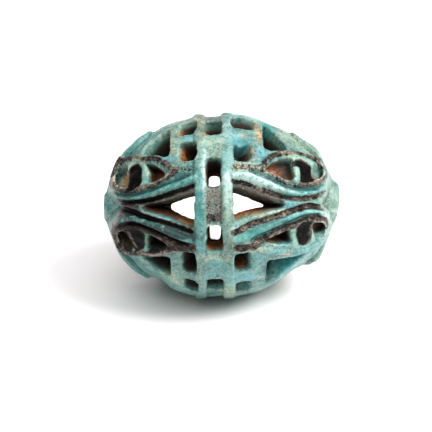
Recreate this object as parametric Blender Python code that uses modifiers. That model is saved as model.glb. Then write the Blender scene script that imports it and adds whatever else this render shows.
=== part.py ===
"""Openwork faience bead: a hollow barrel carved with wedjat eyes and lattice, all one piece.

The string hole runs along X. The bead lies on a small flat under its belly, z = 0.
Places on the barrel are given as a distance along X from the middle of the band, and an
angle in degrees round the axis from the middle of the front face, positive over the top.
"""

import math

import bmesh
import bpy

MM = 0.001

# The barrel: two rounded halves of unlike length that meet at the band
BARREL_RADIUS = 16.4 * MM
LEFT_REACH = -19.5 * MM
RIGHT_REACH = 21.6 * MM
LEFT_FULLNESS = 1.75
RIGHT_FULLNESS = 1.95
LEFT_END = -19.75 * MM
RIGHT_END = 22.25 * MM
BAND_X = -0.5 * (LEFT_END + RIGHT_END)
PROFILE_STEPS = 6
TURN_STEPS = 32

# The end collars round the string hole
HOLE_RADIUS = 1.7 * MM
LEFT_COLLAR_RADIUS = 2.7 * MM
RIGHT_COLLAR_RADIUS = 3.1 * MM
COLLAR_ROUNDING = 0.45 * MM
LEFT_SHOULDER_X = -18.6 * MM
RIGHT_SHOULDER_X = 20.7 * MM

# The hollow inside
CAVITY_RADIUS = 12.2 * MM
CAVITY_LEFT = -9.4 * MM
CAVITY_RIGHT = 10.3 * MM
CAVITY_FULLNESS = 2.5
CAVITY_STEPS = 3

# The band: two raised rails with sunken pads and openings between them
LEFT_RAIL = (-1.75 * MM, -3.55 * MM)
RIGHT_RAIL = (1.5 * MM, 3.35 * MM)
LEFT_RAIL_RADIUS = 16.45 * MM
RIGHT_RAIL_RADIUS = 16.65 * MM
PAD_RADIUS = 16.05 * MM
BAND_OPENING = (-1.4 * MM, 1.3 * MM)
BAND_OPENING_ANGLES = ((11.5, 30.5), (50, 68.5), (82, 98))

# How the bead lies
FRONT_TILT = 30.0
FLAT_DEPTH = 0.2 * MM

# The columns of openings beside the band
COLUMN_LEFT = (-3.9 * MM, -6.2 * MM)
COLUMN_RIGHT = (3.9 * MM, 6.7 * MM)
COLUMN_ANGLES = ((31, 46), (55, 71), (82, 98))
CORNER_CUT = 0.22

# Openings are cut square to the barrel's surface, so that they lean towards the hollow
STEEPEST_LEAN = 0.8
LEAN_STEP = 0.05 * MM
FLOOR_SHARE = 0.46
CUT_CLEARANCE = 1.6 * MM

# Relief: round ridges and furrows, half sunk in the barrel, and leaves with a flat edge
BROW_RADIUS = 0.62 * MM
BROW_RAISE = 0.45 * MM
RIM_RADIUS = 0.68 * MM
RIM_RAISE = 0.35 * MM
TAIL_RADIUS = 0.6 * MM
TAIL_RAISE = 0.25 * MM
FURROW_RADIUS = 0.45 * MM
FURROW_RISE = 0.1 * MM
LEAF_RAISE = 0.45 * MM
ROOT_DEPTH = 1.2 * MM
FINE = 2
COARSE = 1
SHARP_ANGLE = 35.0

# Each side's own places along X, as distances from the band, and angles of its openings
SIDES = {
    "left": {
        "sign": -1,
        "triangle": (3.7 * MM, 13.3 * MM),
        "side_opening": (7.8 * MM, 12.3 * MM),
        "lower_side_opening": (7.8 * MM, 12.2 * MM),
        "side_opening_height": 61,
        "lower_side_opening_height": 59,
        "eye": (7.5 * MM, 18.3 * MM),
        "brow": (3.4 * MM, 18.3 * MM),
        "leaf": (10.2 * MM, 18.2 * MM),
        "lower_leaf": (11.7 * MM, 18.2 * MM),
    },
    "right": {
        "sign": 1,
        "triangle": (3.5 * MM, 12.5 * MM),
        "side_opening": (8.9 * MM, 12.9 * MM),
        "lower_side_opening": (9.3 * MM, 15.8 * MM),
        "side_opening_height": 73,
        "lower_side_opening_height": 70,
        "eye": (8.4 * MM, 19.6 * MM),
        "brow": (3.2 * MM, 19.6 * MM),
        "leaf": (12.8 * MM, 20.0 * MM),
        "lower_leaf": (15.0 * MM, 20.0 * MM),
    },
}

# Lines and outlines shared by every eye: share of a side's span, and angle
EYE_RIM = (
    (0.00, 24.0), (0.22, 20.5), (0.50, 17.5), (0.75, 17.0), (0.90, 22.0), (0.96, 34.0),
    (0.90, 47.0), (0.80, 54.0), (0.64, 52.0), (0.48, 46.5), (0.32, 42.0), (0.14, 37.0),
    (0.00, 30.5), (0.00, 24.0),
)
EYE_INNER_OPENING = (
    (0.07, 28.5), (0.28, 23.5), (0.50, 21.5), (0.55, 30.0), (0.52, 42.0), (0.38, 38.5),
    (0.20, 34.0),
)
EYE_OUTER_OPENING = (
    (0.79, 23.0), (0.88, 24.0), (0.92, 34.0), (0.87, 46.0), (0.79, 49.0), (0.78, 36.0),
)
EYE_TAIL = ((-0.02, 27.0), (-0.2, 25.5), (-0.38, 25.5))
BROW_LINE = ((0.0, 19.0), (0.2, 17.5), (0.4, 14.5), (0.6, 12.5), (0.8, 11.5), (0.93, 13.0), (1.0, 17.0))
FURROW_LINE = ((0.03, 14.5), (0.25, 11.0), (0.50, 8.0), (0.75, 5.8), (0.88, 5.5))
TRIANGLE_HALF_ANGLE = 11.0
LEAF_EDGE = ((0.0, 5.0), (0.12, 12.0), (0.45, 18.0), (0.8, 22.0), (1.0, 27.0))


def barrel_radius(x):
    """Radius of the plain barrel at a place along X."""
    reach, fullness = (LEFT_REACH, LEFT_FULLNESS) if x < 0 else (RIGHT_REACH, RIGHT_FULLNESS)
    share = min(abs(x / reach), 1.0)
    return BARREL_RADIUS * math.sqrt(1.0 - share ** fullness)


def cut_lean(x):
    """Slope of a cut at this place, which is the barrel's own slope up to a limit."""
    fall = barrel_radius(x) - barrel_radius(x + math.copysign(LEAN_STEP, x))
    return math.copysign(min(STEEPEST_LEAN, fall / LEAN_STEP), x)


def on_barrel(x, angle, radius):
    """Point at a distance along X, an angle round the axis and a radius."""
    turn = math.radians(angle)
    return (x, -radius * math.cos(turn), radius * math.sin(turn))


def side_profile(first_x, last_x, raise_by=0.0):
    """Points (x, r) down one side of the barrel, evenly spaced round its curve."""
    reach, fullness = (LEFT_REACH, LEFT_FULLNESS) if last_x < 0 else (RIGHT_REACH, RIGHT_FULLNESS)
    start = math.asin(abs(first_x / reach) ** (0.5 * fullness))
    end = math.asin(abs(last_x / reach) ** (0.5 * fullness))
    points = []
    for step in range(PROFILE_STEPS + 1):
        turn = start + (end - start) * step / PROFILE_STEPS
        x = reach * math.sin(turn) ** (2.0 / fullness)
        points.append((x, barrel_radius(x) + raise_by))
    return points


def collar_profile(end_x, shoulder_x, radius):
    """Points (x, r) of an end collar, from the barrel's shoulder to the string hole."""
    inward = math.copysign(COLLAR_ROUNDING, -end_x)
    return [
        (shoulder_x, radius),
        (end_x + inward, radius),
        (end_x, radius - COLLAR_ROUNDING),
        (end_x, HOLE_RADIUS),
    ]


def rail_profile(rail, radius):
    """Points (x, r) of a raised rail, from its far edge to the pads."""
    near_x, far_x = rail
    return [(far_x, radius), (near_x, radius), (near_x, PAD_RADIUS)]


def cavity_profile():
    """Points (x, r) of the hollow, from the left end of the string hole to the right."""
    points = []
    half_turn = math.acos(HOLE_RADIUS / CAVITY_RADIUS)
    for step in range(-CAVITY_STEPS, CAVITY_STEPS + 1):
        turn = half_turn * abs(step) / CAVITY_STEPS
        reach = CAVITY_LEFT if step < 0 else CAVITY_RIGHT
        x = reach * math.sin(turn) ** (2.0 / CAVITY_FULLNESS)
        points.append((x, CAVITY_RADIUS * math.cos(turn)))
    return points


def barrel_profile():
    """Closed profile of the barrel, its collars, its string hole and its hollow."""
    points = collar_profile(RIGHT_END, RIGHT_SHOULDER_X, RIGHT_COLLAR_RADIUS)[::-1]
    points += side_profile(RIGHT_SHOULDER_X, RIGHT_RAIL[1])
    points += rail_profile(RIGHT_RAIL, RIGHT_RAIL_RADIUS)
    points += rail_profile(LEFT_RAIL, LEFT_RAIL_RADIUS)[::-1]
    points += side_profile(LEFT_RAIL[1], LEFT_SHOULDER_X)
    points += collar_profile(LEFT_END, LEFT_SHOULDER_X, LEFT_COLLAR_RADIUS)
    return points + cavity_profile()


def leaf_skin_profile():
    """Closed profile of a solid barrel that stands a leaf's height above the bead's own."""
    points = [(RIGHT_SHOULDER_X, 0.0)]
    points += side_profile(RIGHT_SHOULDER_X, RIGHT_RAIL[1], LEAF_RAISE)
    points += side_profile(LEFT_RAIL[1], LEFT_SHOULDER_X, LEAF_RAISE)
    return points + [(LEFT_SHOULDER_X, 0.0)]


def turned_object(name, profile, collection):
    """An object whose (x, r) profile is turned about the X axis."""
    mesh = bpy.data.meshes.new(name)
    vertices = [(x, radius, 0.0) for x, radius in profile]
    edges = [(index, index + 1) for index in range(len(profile) - 1)]
    if profile[0][1] > 0.0:
        edges.append((len(profile) - 1, 0))
    mesh.from_pydata(vertices, edges, [])
    turned = bpy.data.objects.new(name, mesh)
    collection.objects.link(turned)
    screw = turned.modifiers.new("turn", "SCREW")
    screw.axis = "X"
    screw.steps = TURN_STEPS
    screw.render_steps = TURN_STEPS
    screw.use_merge_vertices = True
    screw.merge_threshold = 0.00001
    return turned


def rectangle(x_range, angle_range):
    """Outline of an opening with its corners cut, as (x, angle) points."""
    x_low, x_high = sorted(x_range)
    low, high = sorted(angle_range)
    x_cut = CORNER_CUT * (x_high - x_low)
    cut = CORNER_CUT * (high - low)
    return [
        (x_low + x_cut, low), (x_high - x_cut, low), (x_high, low + cut), (x_high, high - cut),
        (x_high - x_cut, high), (x_low + x_cut, high), (x_low, high - cut), (x_low, low + cut),
    ]


def along(side, span, places, half):
    """(x, angle) points at shares of a side's span; half is 1 above the front, -1 below."""
    first, last = side[span]
    return [(side["sign"] * (first + (last - first) * share), half * angle)
            for share, angle in places]


def anticlockwise(outline):
    """The same outline, turned round if it runs clockwise, so that its block faces outwards."""
    twice_area = sum(
        x * next_angle - next_x * angle
        for (x, angle), (next_x, next_angle) in zip(outline, outline[1:] + outline[:1]))
    return outline if twice_area > 0 else outline[::-1]


def mesh_from_curve(curve, collection):
    """A welded mesh of a curve; the curve's own object is removed."""
    sheet = bpy.data.objects.new(curve.name + "_curve", curve)
    collection.objects.link(sheet)
    bpy.context.view_layer.update()
    depsgraph = bpy.context.evaluated_depsgraph_get()
    mesh = bpy.data.meshes.new_from_object(sheet.evaluated_get(depsgraph))
    bpy.data.objects.remove(sheet)
    shape = bmesh.new()
    shape.from_mesh(mesh)
    bmesh.ops.remove_doubles(shape, verts=shape.verts, dist=0.000001)
    shape.to_mesh(mesh)
    shape.free()
    return mesh


def blocks_object(name, outlines, floor_radius, crown_radius, collection):
    """One closed block for each (x, angle) outline, bent round the axis; its walls lean."""
    curve = bpy.data.curves.new(name, "CURVE")
    curve.dimensions = "2D"
    curve.fill_mode = "BOTH"
    curve.extrude = MM
    for outline in outlines:
        spline = curve.splines.new("POLY")
        spline.points.add(len(outline) - 1)
        spline.use_cyclic_u = True
        for point, (x, angle) in zip(spline.points, anticlockwise(outline)):
            point.co = (x, math.radians(angle) * BARREL_RADIUS, 0.0, 1.0)
    mesh = mesh_from_curve(curve, collection)
    for vertex in mesh.vertices:
        x, arc, level = vertex.co
        radius = crown_radius(x) if level > 0 else floor_radius(x)
        x -= cut_lean(x) * (barrel_radius(x) - radius)
        vertex.co = on_barrel(x, math.degrees(arc / BARREL_RADIUS), radius)
    blocks = bpy.data.objects.new(name, mesh)
    collection.objects.link(blocks)
    return blocks


def tubes_object(name, lines, tube_radius, crown_height, fineness, collection):
    """Round tubes along lines of (x, angle) points, their tops at a height over the barrel."""
    curve = bpy.data.curves.new(name, "CURVE")
    curve.dimensions = "3D"
    curve.bevel_depth = tube_radius
    curve.bevel_resolution = fineness
    curve.use_fill_caps = True
    for line in lines:
        spline = curve.splines.new("POLY")
        closed = line[0] == line[-1]
        spline.points.add(len(line) - (2 if closed else 1))
        spline.use_cyclic_u = closed
        for point, (x, angle) in zip(spline.points, line):
            radius = barrel_radius(x) + crown_height - tube_radius
            point.co = (*on_barrel(x, angle, radius), 1.0)
    tubes = bpy.data.objects.new(name, mesh_from_curve(curve, collection))
    collection.objects.link(tubes)
    return tubes


def both_faces(outlines):
    """The outlines of the front face, and the same again half a turn round at the back."""
    back = [[(x, angle - 180.0) for x, angle in outline] for outline in outlines]
    return outlines + back


def lattice_outlines():
    """The band's slots and the two columns of square openings beside it."""
    outlines = []
    for columns, angles in (
        ((BAND_OPENING,), BAND_OPENING_ANGLES),
        ((COLUMN_LEFT, COLUMN_RIGHT), COLUMN_ANGLES),
    ):
        for x_range in columns:
            for low, high in angles:
                outlines.append(rectangle(x_range, (low, high)))
            for low, high in angles[:-1]:
                outlines.append(rectangle(x_range, (-high, -low)))
    return outlines


def triangle_outline(side):
    """The opening between two brows, its base at the band and its point to the end."""
    high = TRIANGLE_HALF_ANGLE
    upper = ((0.0, 0.8 * high), (0.06, high), (0.5, 0.56 * high), (1.0, 0.12 * high))
    lower = tuple((share, -angle) for share, angle in reversed(upper))
    return along(side, "triangle", upper + lower, 1)


def side_opening_outline(side, half):
    """The three-cornered opening beyond the lattice, above or below an eye."""
    prefix = "" if half > 0 else "lower_"
    high = side[prefix + "side_opening_height"]
    tip = 52.0
    places = (
        (0.00, 43.0), (0.08, 41.0), (0.35, 43.5), (0.65, 46.5), (0.95, 50.0), (1.00, tip),
        (0.92, tip + 1.0), (0.50, 0.5 * (tip + high)), (0.10, high), (0.00, high - 3.0),
    )
    return along(side, prefix + "side_opening", places, half)


def leaf_outline(side, half):
    """The raised leaf on the beam between two eyes, its tip towards the band."""
    span = "leaf" if half > 0 else "lower_leaf"
    places = [(share, 90.0 - spread) for share, spread in LEAF_EDGE]
    places += [(share, 90.0 + spread) for share, spread in reversed(LEAF_EDGE)]
    return along(side, span, places, half)


def leaves_object(outlines, skin, collection):
    """Leaves whose tops follow the barrel: tall blocks cut off by a barrel's skin."""
    leaves = blocks_object(
        "leaves", outlines, lambda x: barrel_radius(x) - ROOT_DEPTH, opening_crown, collection)
    add_boolean(leaves, "INTERSECT", skin)
    return leaves


def opening_floor(x):
    """Radius at which the openings end, inside the hollow or as pits in the thick ends."""
    return FLOOR_SHARE * barrel_radius(x)


def opening_crown(x):
    """Radius above which no opening has material."""
    return barrel_radius(x) + CUT_CLEARANCE


def add_boolean(target, operation, tool):
    """Joins, cuts or trims the target with another object."""
    modifier = target.modifiers.new(tool.name, "BOOLEAN")
    modifier.operation = operation
    modifier.solver = "EXACT"
    modifier.object = tool


def finish_surface(target):
    """Settles the target's modifiers into its mesh and shades it smooth between sharp edges."""
    bpy.context.view_layer.update()
    depsgraph = bpy.context.evaluated_depsgraph_get()
    mesh = bpy.data.meshes.new_from_object(target.evaluated_get(depsgraph))
    target.modifiers.clear()
    target.data = mesh
    mesh.shade_smooth()
    mesh.set_sharp_from_angle(angle=math.radians(SHARP_ANGLE))


def faience():
    """Turquoise glaze, worn to a soft gloss."""
    material = bpy.data.materials.new("faience")
    material.use_nodes = True
    surface = material.node_tree.nodes["Principled BSDF"]
    surface.inputs["Base Color"].default_value = (0.17, 0.42, 0.40, 1.0)
    surface.inputs["Roughness"].default_value = 0.4
    surface.inputs["Metallic"].default_value = 0.0
    return material


def rest_flat(tools):
    """A block that stands for the ground and cuts the small flat that the bead lies on."""
    size = 4.0 * BARREL_RADIUS
    bpy.ops.mesh.primitive_cube_add(size=size, location=(0.0, 0.0, -0.5 * size))
    ground = bpy.context.object
    ground.name = "rest_flat"
    for collection in list(ground.users_collection):
        collection.objects.unlink(ground)
    tools.objects.link(ground)
    return ground


def main():
    for leftover in list(bpy.data.objects):
        bpy.data.objects.remove(leftover)
    parts = bpy.data.collections.new("faience_bead")
    tools = bpy.data.collections.new("cutters")
    bpy.context.scene.collection.children.link(parts)
    bpy.context.scene.collection.children.link(tools)

    eyes = []
    brows = []
    tails = []
    furrows = []
    leaves = []
    openings = lattice_outlines()
    for side in SIDES.values():
        openings.append(triangle_outline(side))
        for half in (1, -1):
            eyes.append(along(side, "eye", EYE_RIM, half))
            tails.append(along(side, "eye", EYE_TAIL, half))
            brows.append(along(side, "brow", BROW_LINE, half))
            furrows.append(along(side, "brow", FURROW_LINE, half))
            leaves.append(leaf_outline(side, half))
            openings.append(side_opening_outline(side, half))
            openings.append(along(side, "eye", EYE_INNER_OPENING, half))
            openings.append(along(side, "eye", EYE_OUTER_OPENING, half))

    bead = turned_object("bead", barrel_profile(), parts)
    bead.data.materials.append(faience())
    skin = turned_object("leaf_skin", leaf_skin_profile(), tools)
    ridges = (
        tubes_object("eyes", both_faces(eyes), RIM_RADIUS, RIM_RAISE, FINE, tools),
        tubes_object("tails", both_faces(tails), TAIL_RADIUS, TAIL_RAISE, COARSE, tools),
        tubes_object("brows", both_faces(brows), BROW_RADIUS, BROW_RAISE, FINE, tools),
        leaves_object(leaves, skin, tools),
    )
    furrow_rise = FURROW_RADIUS + FURROW_RISE
    cuts = (
        tubes_object("furrows", both_faces(furrows), FURROW_RADIUS, furrow_rise, COARSE, tools),
        blocks_object("openings", both_faces(openings), opening_floor, opening_crown, tools),
    )

    pose = bpy.data.objects.new("bead_axis", None)
    parts.objects.link(pose)
    pose.location = (BAND_X, 0.0, LEFT_RAIL_RADIUS - FLAT_DEPTH)
    pose.rotation_euler = (math.radians(-FRONT_TILT), 0.0, 0.0)
    for shape in (bead, skin) + ridges + cuts:
        shape.parent = pose

    add_boolean(bead, "DIFFERENCE", rest_flat(tools))
    for ridge in ridges:
        add_boolean(bead, "UNION", ridge)
    for cut in cuts:
        add_boolean(bead, "DIFFERENCE", cut)
    finish_surface(bead)
    for tool in tools.objects:
        tool.hide_render = True
        tool.display_type = "WIRE"


main()
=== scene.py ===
"""Looks of the openwork faience bead: its carved surface, worn glaze, black paint and earth, with shade and
highlights painted into its colour.

The carving is worked out as a field of distances round the bead's axis and meshed from it.
Lengths are millimetres and angles degrees until the mesh is made.  A place on the bead is a
distance x from the middle of the band and an angle round the axis from the middle of the
front face, positive over the top.
"""

import math

import bpy
import numpy as np
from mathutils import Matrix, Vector


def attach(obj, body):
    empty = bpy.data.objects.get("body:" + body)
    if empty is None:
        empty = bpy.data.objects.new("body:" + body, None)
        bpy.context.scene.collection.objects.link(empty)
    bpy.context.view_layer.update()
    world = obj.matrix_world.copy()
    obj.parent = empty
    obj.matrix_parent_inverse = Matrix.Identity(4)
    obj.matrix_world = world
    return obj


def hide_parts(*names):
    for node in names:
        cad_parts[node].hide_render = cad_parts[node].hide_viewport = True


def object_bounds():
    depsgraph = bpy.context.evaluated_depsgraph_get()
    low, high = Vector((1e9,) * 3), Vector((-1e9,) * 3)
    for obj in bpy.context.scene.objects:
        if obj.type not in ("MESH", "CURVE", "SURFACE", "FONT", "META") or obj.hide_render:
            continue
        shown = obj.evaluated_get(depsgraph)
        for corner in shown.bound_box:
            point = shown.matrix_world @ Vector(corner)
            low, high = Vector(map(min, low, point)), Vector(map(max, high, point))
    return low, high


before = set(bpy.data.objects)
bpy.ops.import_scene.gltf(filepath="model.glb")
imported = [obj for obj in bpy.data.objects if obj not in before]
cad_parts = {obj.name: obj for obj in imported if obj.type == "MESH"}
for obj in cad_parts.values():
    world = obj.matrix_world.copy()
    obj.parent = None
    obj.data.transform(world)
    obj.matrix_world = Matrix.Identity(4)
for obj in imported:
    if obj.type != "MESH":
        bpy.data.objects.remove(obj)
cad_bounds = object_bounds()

MM = 0.001
SEED = 7
FAR = 1e3

# ---------------------------------------------------------------- the bead's driving sizes
BARREL_RADIUS = 16.4
LEFT_REACH, RIGHT_REACH = 19.5, 21.6
LEFT_FULLNESS, RIGHT_FULLNESS = 1.75, 1.95
LEFT_END, RIGHT_END = -19.75, 22.25
# Outline (x, radius) of the plain core that shows at the two ends
CORE = (
    (-19.75, 0), (-19.75, 1.9), (-19.55, 2.35), (-18.9, 2.75), (-17, 3.3), (0, 3.3), (19, 4.7),
    (20.4, 4.3), (21.5, 3.7), (22.05, 3), (22.25, 2.3), (22.25, 0),
)
HOLE_RADIUS = 1.7
CAVITY_RADIUS = 12.2
CAVITY_LEFT, CAVITY_RIGHT = 9.4, 10.3
CAVITY_FULLNESS = 2.5
FLOOR_SHARE = 0.46
FRONT_TILT = 30.0
AXIS_HEIGHT = 16.25
BAND_X = 0.5 * (cad_bounds[0][0] + cad_bounds[1][0]) / MM - 0.5 * (LEFT_END + RIGHT_END)

# Rails of the band: (x from, x to, radius), and the radius of its pads
RAILS = ((-3.3, -1.5, 16.42), (1.4, 3.35, 16.46))
PAD_RADIUS, LOW_PAD_RADIUS = 16.3, 16.05

# How far a cut leans with the barrel and where along x that fades, the steepest slope that
# lengths are measured along, and the step that slopes are found with
STEEPEST_LEAN = 0.8
LEAN_FADE = (12.0, 19.0)
STEEPEST_STRETCH = 2.0
SLOPE_STEP = 0.05
# Where the bead's ends grow so steep that the grid along x is coarse on them
STEEP_ENDS = (14.0, 17.0)

# ---------------------------------------------------------------- where the carving lies
# Openings of the band and of the lattice: (x from, x to, angle from, angle to)
BAND_OPENINGS = (
    (-1.35, 1.3, 10.6, 30.5), (-1.6, 1.3, -29.5, -13), (-1.5, 1.5, 50, 68.5), (-1.5, 1.6, -68, -52.5),
    (-1.5, 1.4, 82, 98),
)
LATTICE = (
    (-6.1, -2.95, 30, 45.5), (-6.4, -2.8, 52.5, 70), (-5.9, -3.1, -47.5, -31), (-5.6, -2.9, -72.5, -55.5),
    (3.5, 6.7, 28.5, 45), (3, 7.4, 57.5, 76), (3.5, 6.6, -47.5, -32), (3.6, 6.5, -73.5, -58),
    (-6.1, -3.2, 82, 98), (3.6, 6.7, 85, 98),
)
TRIANGLES = (
    ((-3.5, 9.5), (-12.6, 1.6), (-13, -1.5), (-12.2, -4.5), (-3.5, -15.5)),
    ((3.4, 13), (8.9, 5.5), (12.3, 0.5), (12, -2), (3.4, -11.5)),
)
# The back face is cut a little apart from the front one
BACK_BAND_OPENINGS = (
    (-1.3, 1.25, 11.8, 29), (-1.4, 1.2, -26.3, -13.4), (-1.5, 1.5, 50, 68.5), (-1.5, 1.6, -68, -52.5),
)
BACK_LATTICE = (
    (-6, -3, 31.5, 46), (-6.2, -2.9, 53.5, 70), (-5.9, -3.1, -47.5, -35.5), (-5.7, -2.9, -72.5, -56),
    (3.5, 6.6, 31, 47.5), (3.3, 6.9, 58, 75), (3.5, 6.6, -48, -36), (3.6, 6.5, -73.5, -58.5),
)
BACK_TRIANGLES = (
    ((-3.5, 12.5), (-9.6, 6), (-10.9, 2.5), (-10.9, -1.5), (-9.8, -5.5), (-3.5, -14.5)),
    ((3.4, 15.5), (8.9, 7), (12, 1.5), (12, -2), (3.4, -12)),
)

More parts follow.
